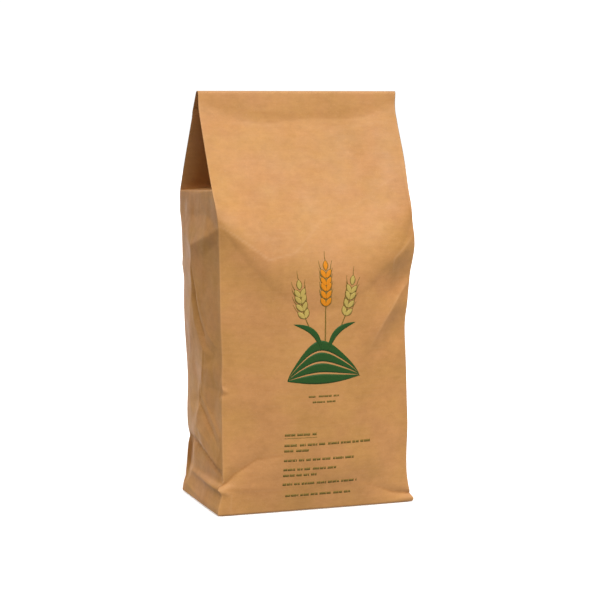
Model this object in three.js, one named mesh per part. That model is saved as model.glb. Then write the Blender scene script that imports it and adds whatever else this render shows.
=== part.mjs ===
// A block-bottomed paper bag of flour, stood on its base with its mouth folded over to the back.
// Millimetres, +Z up. The origin is the middle of the base, and the front panel faces -Y.
import * as THREE from "three";
import { mergeVertices } from "three/addons/utils/BufferGeometryUtils.js";

// Driving sizes
const PANEL_WIDTH = 150; // the front or back panel laid flat, and so the fold along the top
const GUSSET_WIDTH = 92; // a side gusset laid flat, and so the depth of the base
const HEIGHT = 296; // base to the fold along the top
const RIDGE_Y = -4.3; // the fold stands a little in front of the middle
const RIDGE_THICKNESS = 3.6;
const RIDGE_ROUNDING = 1.2;
const FLAP_DROP = 16.5; // how far down the back the folded-over mouth reaches
const FLAP_THICKNESS = 2.4; // its plies, sprung a little away from the back panel
const BASE_ROUNDING = 1.6; // how much the paper rounds over at the base

// The front panel above the flour: an upright band below the fold, then a flat lean down to the belly
const BAND_HEIGHT = 10; // at the upright creases
const BAND_SAG = 11; // and that much more in the middle
const BAND_LEAN = 0.2; // run towards the fold for each millimetre of rise
const FRONT_LEAN = 0.55;
const BACK_LEAN = 0.667;

// The gussets above the flour: a level crease, a nearly level facet and then two halves folded inwards
const GUSSET_CREASE_Z = 226;
const GUSSET_CREASE_TILT = 4; // the crease is that much higher at the front
const FACET_RISE = 3;
const FACET_DEPTH = 28; // how far in the facet reaches, where the two halves meet
const SLOT_PRESSED = 4; // the slot between the halves is pressed shut that far below the fold

// Columns across the panels, and rows between the base and the top
const FRONT_COLUMNS = 22;
const SIDE_COLUMNS = 16;
const ROWS_BELOW_CREASE = 30;
const ROWS_ABOVE_CREASE = 8;

// Derived sizes
const HALF_WIDTH = PANEL_WIDTH / 2;
const HALF_DEPTH = GUSSET_WIDTH / 2;
const FLAP_EDGE_Z = HEIGHT - FLAP_DROP;
const FACET_TOP_Z = GUSSET_CREASE_Z + FACET_RISE;

const { clamp, lerp } = THREE.MathUtils;

// Smooth curve through [height, value] pairs
function profile(pairs) {
  const heights = pairs.map((pair) => pair[0]);
  const values = pairs.map((pair) => pair[1]);
  const curve = new THREE.CubicInterpolant(heights, values, 1);
  return (z) => curve.evaluate(z)[0];
}

// The four upright creases: x at a height. The flour draws them inwards, and each is dented somewhere.
const EDGE_X = {
  frontLeft: profile([
    [0, -73.6], [12, -72.2], [20, -73.8], [28, -70.4], [50, -71.0],
    [130, -71.3], [190, -72.2], [220, -74.2], [280, -75.2], [HEIGHT, -HALF_WIDTH],
  ]),
  frontRight: profile([
    [0, 73.8], [4, 73.2], [9, 70.9], [62, 69.0], [95, 67.7], [136, 67.2],
    [167, 71.2], [188, 73.4], [218, 71.4], [250, 72.8], [284, 73.5], [HEIGHT, 74.8],
  ]),
  backLeft: profile([
    [0, -73.6], [14, -70.9], [41, -68.0], [89, -68.8], [122, -70.7],
    [196, -72.7], [226, -74.1], [280, -74.9], [HEIGHT, -HALF_WIDTH],
  ]),
  backRight: profile([
    [0, 73.5], [12, 71.2], [60, 68.6], [105, 67.9], [180, 72.1], [226, 73.4], [HEIGHT, HALF_WIDTH],
  ]),
};

// How far the flour pushes the middle of a panel out: value at a height
const FRONT_BULGE = profile([[0, 1.0], [34, 8.5], [80, 13.5], [160, 15.5], [HEIGHT, 16]]);
const BACK_BULGE = profile([[0, 1.0], [30, 7.5], [80, 12.5], [155, 14.5], [HEIGHT, 15]]);
const SIDE_BULGE = profile([[0, 0.2], [24, 1.6], [70, 3.2], [130, 1.2], [190, 4.2], [226, 0.4], [HEIGHT, 0]]);

// The larger creases that cross a panel. Each runs from one point of the panel to another, as [across, height].
// Across is -1 to 1 from left to right on the front and back, and 0 to 1 from front to back on a gusset.
// lift is positive for a ridge and negative for a valley. It is full along the line, times fade at each end,
// and falls to nothing over reach to either side, in millimetres at each end.
const FRONT_CREASES = [
  { from: [-1.0, 202], to: [-0.44, 177], lift: 2.6, reach: [12, 26], fade: [1, 0.2] },
  { from: [-1.0, 184], to: [-0.5, 160], lift: -2.8, reach: [14, 30], fade: [1, 0.1] },
  { from: [1.0, 190], to: [0.7, 174], lift: 2.4, reach: [12, 24], fade: [1, 0.2] },
  { from: [1.0, 172], to: [0.72, 164], lift: -3.2, reach: [12, 22], fade: [1, 0.1] },
  { from: [1.0, 152], to: [0.6, 119], lift: 2.6, reach: [10, 20], fade: [1, 0] },
  { from: [0.92, 134], to: [0.66, 96], lift: -2.8, reach: [12, 30], fade: [0.8, 0] },
  { from: [-1.0, 20], to: [-0.48, 43], lift: -3.0, reach: [8, 18], fade: [1, 0] },
];
const BACK_CREASES = [
  { from: [-1.0, 209], to: [-0.5, 181], lift: 2.4, reach: [12, 26], fade: [1, 0.2] },
  { from: [1.0, 206], to: [0.55, 185], lift: 2.6, reach: [12, 26], fade: [1, 0.2] },
  { from: [-1.0, 42], to: [-0.45, 60], lift: -3.4, reach: [10, 24], fade: [1, 0] },
  { from: [1.0, 25], to: [0.5, 47], lift: -2.6, reach: [10, 22], fade: [1, 0] },
];
const LEFT_CREASES = [
  { from: [0.0, 200], to: [0.78, 186], lift: 2.0, reach: [16, 16], fade: [0.6, 1] },
  { from: [0.74, 180], to: [0.72, 148], lift: -3.4, reach: [15, 15], fade: [0.5, 1] },
  { from: [0.72, 148], to: [0.55, 112], lift: -3.2, reach: [15, 10], fade: [1, 0.3] },
  { from: [0.66, 70], to: [0.0, 50], lift: 2.4, reach: [14, 12], fade: [0.8, 0.6] },
  { from: [1.0, 42], to: [0.0, 30], lift: -2.6, reach: [12, 11], fade: [0.6, 0.9] },
];
const RIGHT_CREASES = [
  { from: [0.0, 192], to: [0.6, 184], lift: 2.0, reach: [15, 16], fade: [0.6, 1] },
  { from: [0.45, 176], to: [0.5, 120], lift: -3.4, reach: [15, 17], fade: [0.5, 1] },
  { from: [0.5, 120], to: [0.35, 78], lift: -2.6, reach: [17, 12], fade: [1, 0.2] },
  { from: [0.0, 60], to: [0.7, 46], lift: 2.2, reach: [12, 14], fade: [0.7, 0.5] },
  { from: [0.0, 14], to: [1.0, 34], lift: -2.4, reach: [10, 12], fade: [0.9, 0.6] },
];

// How far one crease moves the paper at a point. span turns across into millimetres.
function creaseLift(crease, across, z, span) {
  const start = new THREE.Vector2(crease.from[0] * span, crease.from[1]);
  const along = new THREE.Vector2(crease.to[0] * span, crease.to[1]).sub(start);
  const length = along.length();
  along.divideScalar(length);
  const point = new THREE.Vector2(across * span, z).sub(start);
  const travelled = clamp(point.dot(along), 0, length);
  const t = travelled / length;
  const distance = point.sub(along.multiplyScalar(travelled)).length();
  const nearness = 1 - distance / lerp(crease.reach[0], crease.reach[1], t);
  if (nearness <= 0) return 0;
  return crease.lift * lerp(crease.fade[0], crease.fade[1], t) * Math.pow(nearness, 1.6);
}

function sumOfLifts(creases, across, z, span) {
  return creases.reduce((sum, crease) => sum + creaseLift(crease, across, z, span), 0);
}

// The larger of two numbers, with the corner between them rounded over a span of r
function softMax(a, b, r) {
  const share = clamp(0.5 + (0.5 * (a - b)) / r, 0, 1);
  return lerp(b, a, share) + 0.5 * r * share * (1 - share);
}

function softMin(a, b, r) {
  return -softMax(-a, -b, r);
}

// 0 at the floor, rising to 1 where the paper has rounded up into the walls
function clearOfBase(z) {
  const t = clamp(z / BASE_ROUNDING, 0, 1);
  return Math.sqrt(t * (2 - t));
}

function baseRounding(z) {
  return BASE_ROUNDING * (1 - clearOfBase(z));
}

// y of the front panel, u from -1 at its left crease to 1 at its right
function frontY(u, z) {
  const foldY = RIDGE_Y - RIDGE_THICKNESS / 2;
  const bandHeight = BAND_HEIGHT + BAND_SAG * (1 - u * u);
  const band = foldY - BAND_LEAN * (HEIGHT - z);
  const lean = foldY - BAND_LEAN * bandHeight - FRONT_LEAN * (HEIGHT - bandHeight - z);
  const belly = -HALF_DEPTH - FRONT_BULGE(z) * (1 - Math.pow(Math.abs(u), 2.2));
  const panel = softMax(softMin(band, lean, 3), belly, 6 + 18 * (1 - u * u));
  return panel - sumOfLifts(FRONT_CREASES, u, z, HALF_WIDTH) * clearOfBase(z) + baseRounding(z);
}

// y of the back panel, with the folded-over mouth lying on it below the fold
function backY(u, z) {
  const lean = RIDGE_Y + RIDGE_THICKNESS / 2 - 0.8 + BACK_LEAN * (HEIGHT - z);
  const belly = HALF_DEPTH + BACK_BULGE(z) * (1 - Math.pow(Math.abs(u), 2.2));
  const panel = softMin(lean, belly, 6 + 18 * (1 - u * u));
  const down = (HEIGHT - z) / FLAP_DROP;
  const flap = z >= FLAP_EDGE_Z ? FLAP_THICKNESS * Math.min(1, 0.45 + 0.55 * down) : 0;
  return panel + sumOfLifts(BACK_CREASES, u, z, HALF_WIDTH) * clearOfBase(z) - baseRounding(z) + flap;
}

// How far a gusset lies in from its upright creases, v from 0 at the front to 1 at the back.
// z is the height before the rows are tilted, so the level crease lies along one row.
function gussetInset(creases, v, z) {
  const middle = 1 - Math.abs(2 * v - 1); // 0 at the creases, 1 midway
  const rise = (z - FACET_TOP_Z) / (HEIGHT - FACET_TOP_Z);
  const halves = middle * lerp(FACET_DEPTH, HALF_DEPTH, clamp(rise, 0, 1));
  const facet = ((z - GUSSET_CREASE_Z) * FACET_DEPTH) / FACET_RISE;
  const slot = clamp((HEIGHT - SLOT_PRESSED - z) / 8, 0, 1);
  const folded = Math.max(0, Math.min(facet, halves)) * slot;
  const below = clamp((GUSSET_CREASE_Z - z) / 10, 0, 1) * clearOfBase(z);
  const hold = Math.min(1, middle * 3);
  const bulge = SIDE_BULGE(z) * (1 - (1 - middle) ** 2) * clearOfBase(z);
  return folded + baseRounding(z) - bulge - sumOfLifts(creases, v, z, GUSSET_WIDTH) * hold * below;
}

function evenly(from, to, steps) {
  return Array.from({ length: steps }, (_, i) => lerp(from, to, i / steps));
}

// Heights of the rows: closer at the base, on the facets, at the edge of the flap and over the fold
function rowHeights() {
  return [
    0, BASE_ROUNDING * 0.3, BASE_ROUNDING, 4, 8,
    ...evenly(12, GUSSET_CREASE_Z, ROWS_BELOW_CREASE),
    ...evenly(GUSSET_CREASE_Z, FACET_TOP_Z, 4),
    ...evenly(FACET_TOP_Z, FLAP_EDGE_Z - 0.3, ROWS_ABOVE_CREASE),
    FLAP_EDGE_Z - 0.3, FLAP_EDGE_Z, FLAP_EDGE_Z + 5,
    HEIGHT - SLOT_PRESSED - 3, HEIGHT - SLOT_PRESSED, HEIGHT - RIDGE_ROUNDING, HEIGHT,
  ];
}

// The rows rise towards the front round the level crease, and are level at the base and the fold
function tiltedHeight(v, z) {
  const nearCrease = z < GUSSET_CREASE_Z ? z / GUSSET_CREASE_Z : (HEIGHT - z) / (HEIGHT - GUSSET_CREASE_Z);
  return z + GUSSET_CREASE_TILT * (0.5 - v) * Math.pow(clamp(nearCrease, 0, 1), 2);
}

// The bellies of the two panels differ a little, so the whole is slid until its box is centred
function standOnOrigin(geometry) {
  geometry.computeBoundingBox();
  const { min, max } = geometry.boundingBox;
  geometry.translate(-(min.x + max.x) / 2, -(min.y + max.y) / 2, -min.z);
}

// A box whose grid of vertices is carried to where the paper is
function bagGeometry() {
  const rows = rowHeights();
  const box = new THREE.BoxGeometry(2, 1, 1, FRONT_COLUMNS, SIDE_COLUMNS, rows.length - 1);
  box.deleteAttribute("normal");
  box.deleteAttribute("uv");
  const skin = mergeVertices(box, 1e-4);
  const position = skin.getAttribute("position");
  for (let i = 0; i < position.count; i++) {
    const u = position.getX(i);
    const v = position.getY(i) + 0.5;
    const rowZ = rows[Math.round((position.getZ(i) + 0.5) * (rows.length - 1))];
    const z = tiltedHeight(v, rowZ);
    const left = lerp(EDGE_X.frontLeft(z), EDGE_X.backLeft(z), v) + gussetInset(LEFT_CREASES, v, rowZ);
    const right = lerp(EDGE_X.frontRight(z), EDGE_X.backRight(z), v) - gussetInset(RIGHT_CREASES, v, rowZ);
    const overFold = clamp((z - HEIGHT + RIDGE_ROUNDING) / RIDGE_ROUNDING, 0, 1);
    const keptThickness = 1 - 0.55 * overFold ** 2;
    const depthShare = 0.5 + (v - 0.5) * keptThickness;
    position.setXYZ(i, lerp(left, right, (u + 1) / 2), lerp(frontY(u, z), backY(u, z), depthShare), z);
  }
  standOnOrigin(skin);
  skin.computeVertexNormals();
  return skin;
}

function bag() {
  const paper = new THREE.MeshStandardMaterial({ color: 0xc4935c, roughness: 0.8, metalness: 0 });
  const mesh = new THREE.Mesh(bagGeometry(), paper);
  mesh.name = "bag";
  return mesh;
}

const group = new THREE.Group();
group.add(bag());

export default group;
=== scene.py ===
# A shut kraft paper bag of flour: block bottom, folded-in side gussets and a mouth folded over to the back.
import math
import random

import bmesh
import bpy
import numpy as np
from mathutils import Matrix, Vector, noise
from mathutils.bvhtree import BVHTree
from mathutils.geometry import delaunay_2d_cdt


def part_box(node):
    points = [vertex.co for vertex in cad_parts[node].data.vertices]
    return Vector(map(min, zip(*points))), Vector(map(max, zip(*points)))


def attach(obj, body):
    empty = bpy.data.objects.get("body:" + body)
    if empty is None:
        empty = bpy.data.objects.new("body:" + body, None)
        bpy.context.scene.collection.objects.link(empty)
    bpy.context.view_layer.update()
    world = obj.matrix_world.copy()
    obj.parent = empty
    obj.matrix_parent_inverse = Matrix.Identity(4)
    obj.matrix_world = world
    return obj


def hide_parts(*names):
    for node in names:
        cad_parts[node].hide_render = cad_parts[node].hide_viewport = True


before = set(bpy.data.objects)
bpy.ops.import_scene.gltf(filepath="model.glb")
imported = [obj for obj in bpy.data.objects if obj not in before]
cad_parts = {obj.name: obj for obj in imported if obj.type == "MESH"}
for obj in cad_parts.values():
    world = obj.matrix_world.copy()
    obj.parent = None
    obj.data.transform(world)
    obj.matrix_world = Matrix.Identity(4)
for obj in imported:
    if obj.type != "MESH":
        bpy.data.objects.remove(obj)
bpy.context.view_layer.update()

MM = 0.001  # the shapes are worked out in millimetres, and the meshes are in metres


# Driving sizes of the paper, in millimetres
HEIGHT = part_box("bag")[1].z / MM
PANEL_WIDTH = 150
GUSSET_WIDTH = 92
RIDGE_Y = -4.3
RIDGE_THICKNESS = 3.6
RIDGE_ROUNDING = 1.8
FLAP_DROP = 16.5
FLAP_THICKNESS = 1.5
BASE_ROUNDING = 1.5
BASE_LIFT = 0.35  # the skin's base, above the folded flaps that the bag stands on
PLY = 0.22

# The panels above the flour
BAND_HEIGHT = 12
BAND_SAG = 12
BAND_LEAN = 0.16
FRONT_LEAN = 0.55
BACK_LEAN = 0.667
GUSSET_CREASE_Z = 226
GUSSET_CREASE_TILT = 4
FACET_RISE = 3
FACET_DEPTH = 28
SLOT_FADE = 6
SLOT_END = 0.05  # the share of the fold's depth that is left at the very top
GUSSET_BOW = 1.2
FLAP_TOP_SHARE = 0.5  # the flap's thickness at the ridge, as a share of that at its edge
BACK_STEP = 0.8
BAND_BLEND = 3
SHOULDER_EDGE_BLEND = 5
SHOULDER_MIDDLE_BLEND = 14
BELLY_SQUARENESS = 2.2

# Bands over which the relief comes in, in millimetres, and how fast it rises from the upright creases
CALM_BAND = 12
CREASE_FADE = 2
LIFT_FADE = 8
PANEL_CALM = 8
GUSSET_CALM = 4
CREASE_CALM = 20

HALF_WIDTH = PANEL_WIDTH / 2
HALF_DEPTH = GUSSET_WIDTH / 2
FLAP_EDGE_Z = HEIGHT - FLAP_DROP
FACET_TOP_Z = GUSSET_CREASE_Z + FACET_RISE

# Columns and rows of the skin. The columns are crowded at the upright creases, and the rows below FOOT_Z.
FRONT_COLUMNS = 128
FRONT_CROWDING = 0.28
SIDE_COLUMNS = 80
SIDE_CROWDING = 0.04
ROW_STEP = 1.42
FOOT_Z = 12
ROUNDING_ROWS = 4
FOOT_ROWS = 12
FACET_ROWS = 10
FLAP_ROWS = 12
FOLD_ROWS = 7
FLAP_EDGE_STEP = 0.05
SKIN_MERGE = 2e-6  # in metres, as the next line
SHEET_MERGE = 1e-6

# The camera, found by fitting the photograph's perspective to the bag
CAMERA_PLACE = (-437.4, -1248.5, 290.5)
CAMERA_YAW = 19.44
CAMERA_DOWN = 6.27
PHOTO_SIDE = 600  # in pixels, as the next line
PHOTO_FOCAL_LENGTH = 1832
SENSOR = 36
FOCAL_LENGTH = SENSOR * PHOTO_FOCAL_LENGTH / PHOTO_SIDE

# The studio. Camera rays see a white backdrop. All other rays see a dim room, ground light that is weaker on
# the left, and a bright sheen behind the bag. Spans are ranges of a direction's parts, from -1 to 1.
BACKDROP = 1.05
ROOM = 0.12
SHEEN = 3.6
SHEEN_HEIGHT = -0.05
SHEEN_SPAN = (0.82, 0.96)
GROUND = 0.62
GROUND_LEFT = 0.19
GROUND_SPAN = (-0.9, 0.3)
HORIZON_SPAN = (-0.06, -0.02)
FLOOR_HALF_WIDTH = 6.0
FLOOR_GREY = (0.92, 0.92, 0.92, 1)
FLOOR_WHITE = (0.95, 0.95, 0.95, 1)
FLOOR_CLOUDS = 3.0
FLOOR_GLOW = 0.3
FLOOR_ROUGHNESS = 0.9
FLOOR_SPECULAR = 0.1

# The lights: a soft key above the camera and a rim light from behind, given by azimuth, elevation, width,
# strength and colour, and a low card for the light that the table throws up
KEY = (-3, 50, 50, 3.6, (1.0, 0.99, 0.97))
RIM = (-160, 16, 40, 2.1, (1, 1, 1))
LAMP_DISTANCE = 2
CARD_PLACE = (-0.215, -0.01, 0.04)
CARD_AIM = (-0.075, -0.03, 0.055)
CARD_SIZE = 0.14
CARD_POWER = 0.055


# Curves and small helpers

def profile(pairs):
    """A smooth curve through [height, value] pairs."""
    heights, values = np.array(pairs, float).T
    slopes = np.gradient(values, heights)

    def value(z):
        z = np.clip(z, heights[0], heights[-1])
        i = np.clip(np.searchsorted(heights, z, side="right") - 1, 0, len(heights) - 2)
        span = heights[i + 1] - heights[i]
        t = (z - heights[i]) / span
        start = (2 * t**3 - 3 * t**2 + 1) * values[i] + (t**3 - 2 * t**2 + t) * span * slopes[i]
        end = (3 * t**2 - 2 * t**3) * values[i + 1] + (t**3 - t**2) * span * slopes[i + 1]
        return start + end

    return value


def lerp(a, b, t):
    return a + (b - a) * t


def smooth_step(t):
    t = np.clip(t, 0, 1)
    return t * t * (3 - 2 * t)


def soft_max(a, b, r):
    share = np.clip(0.5 + 0.5 * (a - b) / r, 0, 1)
    return lerp(b, a, share) + 0.5 * r * share * (1 - share)


def soft_min(a, b, r):
    return -soft_max(-a, -b, r)


def clear_of_base(z):
    """0 at the floor, rising to 1 where the paper has rounded up into the walls."""
    t = np.clip(z / BASE_ROUNDING, 0, 1)
    return np.sqrt(t * (2 - t))


def base_rounding(z):
    return BASE_ROUNDING * (1 - clear_of_base(z))


# The four upright creases: x at a height. The flour draws them inwards, and each is dented somewhere.
EDGE_X = {
    "front_left": profile([
        (0, -73.6), (4, -73.7), (10, -72.3), (16.5, -71.7), (19.3, -73.8), (22.5, -70.6), (30, -70.3),
        (50, -70.5), (70, -70.7), (85, -70.6), (88, -70.2), (91, -70.5), (110, -70.3), (130, -71),
        (190, -72.2), (220, -74.2), (280, -75.2), (296, -75),
    ]),
    "front_right": profile([
        (0, 73.8), (3, 74), (6, 72), (10, 70.9), (62, 69), (95, 67.8), (134, 67.3), (145, 68.6),
        (167, 71.4), (188, 73.6), (196, 73), (216, 71.4), (250, 72.9), (284, 73.6), (296, 74.8),
    ]),
    "back_left": profile([
        (0, -73.6), (6, -72.6), (14, -70.9), (37, -68.5), (42, -67.8), (46, -68.4), (89, -68.8),
        (122, -70.7), (196, -72.7), (226, -74.1), (280, -74.9), (296, -75),
    ]),
    "back_right": profile([
        (0, 73.5), (12, 71.2), (41, 69), (46, 67.8), (52, 68.8), (105, 67.9), (180, 72.1),
        (226, 73.4), (296, 75),
    ]),
}

# How far the flour pushes the middle of a panel out
FRONT_BULGE = profile([(0, 1), (34, 8.5), (80, 13.5), (160, 15.5), (296, 16)])
BACK_BULGE = profile([(0, 1), (30, 7.5), (80, 12.5), (155, 14.5), (296, 15)])

# Creases in the front and back panels. Each is a chain of points (across, height, lift, reach), with across
# from -1 at the left to 1 at the right. Lift is positive on a ridge and negative in a valley, and it falls to
# nothing over the reach to either side. Height, lift and reach are in millimetres.
FRONT_CREASES = [
    # the shoulder, where the leaning sheet meets the belly: crisp on the left, soft on the right
    [(-1, 203, 1.4, 18), (-0.77, 191, 1.8, 28), (-0.56, 179, 1.9, 34), (-0.3, 183, 0.9, 30),
     (0.05, 205, 0.5, 24), (0.42, 213, 0.5, 22), (0.97, 238, 0.4, 14)],
    # the dent at the right edge, and the long crease below it
    [(1, 194, 0.8, 9), (0.9, 187, 1.6, 12), (0.74, 177, 1.9, 14), (0.77, 166, 0.4, 12)],
    [(0.98, 160, 0.9, 6), (0.84, 148, 1.9, 9), (0.7, 132, 1.3, 12), (0.52, 112, 0, 14)],
    # faint creases in the leaning sheet
    [(0.3, 266, 0.2, 7), (0.95, 276, 0.6, 7)],
    [(0.94, 262, 0, 7), (0.98, 204, -0.7, 9)],
    # the lower edge of the upright band under the fold
    [(-0.95, 290, 0, 6), (-0.78, 282, -0.3, 8), (-0.58, 275.5, -0.6, 10), (-0.38, 273, -0.8, 11),
     (-0.12, 275, -0.5, 10), (0.12, 277.5, -0.3, 9), (0.42, 276, -0.5, 10), (0.68, 278, -0.4, 9),
     (0.9, 284, 0, 6)],
    # the small spur on the left edge
    [(-1, 89.5, 1.5, 2.5), (-0.95, 88.5, 0.3, 3)],
    [(-1, 85.5, -0.8, 2.5), (-0.96, 85, -0.2, 3)],
    # the pinched lower corners
    [(-1, 20.5, -2, 4.5), (-0.89, 29, -1.7, 8), (-0.66, 40, -1.2, 13), (-0.2, 44, 0, 18)],
    [(-1, 18.5, 1.3, 4), (-0.9, 15, 1, 7), (-0.87, 0, 1, 7)],
    [(1, 6.5, -1.7, 3.5), (0.82, 8.5, -1.2, 7), (0.45, 20, 0, 14)],
    [(1, 3, 0.6, 3), (0.7, 2.5, 0, 3)],
]
# Rounded hollows and swells, given as the creases are
FRONT_SWELLS = [
    [(-0.9, 228, -0.8, 24), (-0.3, 216, -0.8, 26)],
    [(-0.98, 178, -1, 26), (-0.74, 130, -1, 34)],
    [(-0.5, 152, -0.5, 28), (-0.15, 146, -0.3, 28)],
    [(1.02, 164, -2.2, 22), (0.88, 162, -3.6, 22), (0.72, 157, -1.4, 17)],
    [(1, 137, -1, 14), (0.86, 126, -1.7, 16), (0.65, 111, -2.2, 18), (0.6, 62, 0, 22)],
    [(-0.2, 234, 0.3, 24), (0.3, 228, 0.9, 24)],
    [(-0.92, 84, 0.8, 14), (-0.3, 74, 0.5, 20)],
    [(0.9, 110, 0.9, 13), (0.88, 50, 0.8, 13)],
    [(0.1, 30, 0.9, 16), (0.6, 36, 0.9, 18)],
]
BACK_CREASES = [
    [(-1, 209, 2, 9), (-0.72, 196, 2.2, 18), (-0.3, 186, 0.8, 20)],
    [(1, 206, 2, 9), (0.66, 190, 2.2, 18), (0.2, 192, 0.3, 20)],
    [(-1, 170, 1.6, 6), (-0.55, 138, 0, 12)],
    [(0.97, 150, 1.2, 6), (0.7, 126, 0, 10)],
    # the level crease where the flat-folded base lay
    [(-1, 43, -2, 7), (-0.7, 45, -1, 8), (0.7, 46, -0.8, 8), (1, 45, -2, 7)],
    [(-1, 12, -1.6, 6), (-0.6, 22, 0, 12)],
    [(1, 15, -1.8, 6), (0.62, 26, 0, 12)],
]
BACK_SWELLS = [
    [(1, 178, -2.4, 14), (0.6, 156, -0.8, 24)],
    [(-0.98, 158, -2.4, 12), (-0.6, 120, -0.6, 20)],
    [(-0.7, 100, 0.9, 26), (-0.3, 84, 0.6, 26)],
    [(0.4, 120, -0.8, 24), (0.7, 96, -0.6, 24)],
]

# Folds of the gussets below the level crease. The paper is flat between them. Each fold is a chain of points
# (across, height, lift), across from 0 at the front to 1 at the back, and lift outwards in millimetres.
LEFT_FOLDS = [
    # the shoulder over the flour, and the sheet that rises from it
    [(0, 200, 0), (0.2, 194, 4.8), (0.53, 187, 6.4), (0.87, 196, 2.4), (1, 198, 0)],
    [(0, 212, 0), (0.27, 209, 0.4), (0.65, 208, 1.5), (1, 212, 0)],
    [(0.03, 190, 0.3), (0.3, 181, 3.4), (0.56, 178, 5.3), (1, 182, 0)],
    # the strip that is turned to the back
    [(0.53, 187, 6.4), (0.56, 178, 5.3), (0.59, 150, 5.3), (0.53, 132, 5), (0.35, 113, 4.6)],
    [(0.56, 178, 5.3), (0.53, 150, 3.5), (0.47, 137, 2.9), (0.36, 125, 2.9), (0.35, 113, 4.6)],
    # the fold that runs down to the front edge
    [(0.52, 168, 5.2), (0.43, 152, 4.7), (0.38, 141, 4.3), (0.275, 128, 3.2), (0.156, 121, 1.7),
     (0.06, 117, 0.5), (0, 108, 0)],
    [(0.35, 113, 4.6), (0.29, 117, 2.5), (0.15, 111, 0.8), (0, 101, 0)],
    # the middle
    [(0.35, 113, 4.6), (0.39, 100, 4.2), (0.415, 89, 3.8), (0.47, 78, 2.8)],
    [(0.47, 78, 2.8), (0.25, 67, 0.5), (0, 54, 0)],
    [(0.47, 78, 2.8), (0.58, 64, 3.9), (0.62, 48, 3.6)],
    [(1, 66, 0), (0.58, 64, 3.9)],
    [(0.8, 47, 1.8), (0.62, 48, 3.6), (0.42, 43, 3.8), (0.12, 35, 1.8), (0, 33, 0)],
    # the crease from the notch in the back edge, and the base below it
    [(1, 43, 0), (0.8, 43, 1), (0.56, 40, 0.9), (0.39, 38, 0.5), (0.05, 30, -0.2), (0, 29, 0)],
    [(0.8, 43, 1), (0.74, 22, 1.2), (1, 3, 0)],
    [(1, 43, 0), (0.925, 36, -1.5), (0.94, 22, -1.4), (1, 3, 0)],
    [(0.74, 22, 1.2), (0.37, 20, 0.9), (0.13, 20, 0.5), (0, 19.3, 0)],
    [(0.37, 20, 0.9), (0.41, 8, 1)],
    [(1, 3, 0), (0.41, 8, 1), (0.09, 10, 0.5), (0, 9, 0)],
]
RIGHT_FOLDS = [
    [(0, 194, 0), (0.3, 184, 5), (0.66, 190, 4.4), (1, 200, 0)],
    [(0.3, 184, 5), (0.26, 150, 4.2), (0.42, 118, 0.8)],
    [(0.36, 174, 3.8), (0.4, 146, 0.8), (0.42, 118, 0.8)],
    [(1, 150, 0), (0.74, 140, 3.6), (0.5, 138, 3.6), (0.42, 118, 0.8)],
    [(0.42, 118, 0.8), (0.5, 88, 0.6), (0.46, 62, 2.6)],
    [(0, 72, 0), (0.46, 62, 2.6), (1, 74, 0)],
    [(0, 34, 0), (0.3, 40, -0.2), (0.7, 44, 1), (1, 45, 0)],
    [(0, 10, 0), (0.4, 14, 1.4), (1, 12, 0)],
]
# The gusset's own corners and the middle of its foot and top
GUSSET_REST = [
    (0, 0, 0), (0.5, 0, 0.3), (1, 0, 0),
    (0, GUSSET_CREASE_Z, 0), (0.5, GUSSET_CREASE_Z, 0.8), (1, GUSSET_CREASE_Z, 0),
]

# Sharp narrow creases in the gussets. Across is from 0 at the front to 1 at the back.
LEFT_CREASES = [
    [(0.56, 174, -0.2, 2), (0.53, 150, -1.1, 3.5), (0.47, 137, -1.2, 4), (0.36, 124, -0.8, 4)],
    [(0.52, 168, 0.2, 2), (0.43, 152, 0.6, 2.5), (0.38, 141, 0.6, 2.5), (0.275, 128, 0.7, 3),
     (0.156, 121, 0.6, 3), (0.05, 116, 0.1, 3)],
    [(0.34, 112, -0.6, 2), (0.4, 88, -0.2, 2.5)],
    [(0.42, 96, 0.2, 2.5), (0.48, 81, 0.8, 3), (0.26, 67, 1.5, 4), (0.05, 55, 0.6, 4)],
    [(0.46, 90, -0.2, 3), (0.53, 74, -1, 4), (0.3, 60, -1.3, 4), (0.08, 48, -0.5, 4)],
    [(0.66, 57, 0.3, 3), (0.44, 52, 0.6, 3), (0.2, 44, 0.1, 4)],
    [(0.95, 43.5, -1, 3), (0.54, 39.5, -1.3, 3.5), (0.04, 29, -1.2, 3.5)],
    [(0.72, 60, 0, 2), (0.64, 36, 0.6, 2)],
    [(0, 86, -1.2, 3), (0.07, 84, -0.2, 3)],
    [(0, 19, -1.3, 4), (0.14, 21, -0.5, 4), (0.6, 23, -0.1, 4)],
    [(0.2, 2, 0.1, 3), (0.9, 8, 0.4, 3)],
]
RIGHT_CREASES = [
    [(0.36, 174, -0.4, 3), (0.44, 122, -0.8, 4)],
    [(0, 34, -0.9, 3), (0.5, 42, -0.9, 3), (1, 45, -0.9, 3)],
    [(0, 8, -1, 3), (0.3, 13, 0, 5)],
    [(0.1, 160, 0.2, 3), (0.3, 128, 0.7, 5)],
]

# How sharply a crease rises to its line, and the mark along the line
# The mark is pale worn paper with a painted highlight on a ridge, and painted shade in a valley
CREASE_SHARPNESS = 1.6
MARK_CORE = 1.15
MARK_WIDTH = 0.9
MARK_LIFT = 1.8
VALLEY_SHADE = 0.5

# Tolerances of the facet nets
ONE_POINT = 1e-3
SLIVER = 1e-9
SLACK = 1e-6

# Layers of facets that handling leaves: each one's seed, width, spacing and height
HANDLING_LAYERS = {
    "front": [(11, PANEL_WIDTH, 23, 0.42)],
    "back": [(12, PANEL_WIDTH, 23, 0.5)],
    "left": [(13, GUSSET_WIDTH, 19, 0.4), (15, GUSSET_WIDTH, 8.5, 0.22)],
    "right": [(14, GUSSET_WIDTH, 19, 0.4), (16, GUSSET_WIDTH, 8.5, 0.22)],
}
STRAY = 0.4  # how far the facets' points stray, as a share of the spacing


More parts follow.
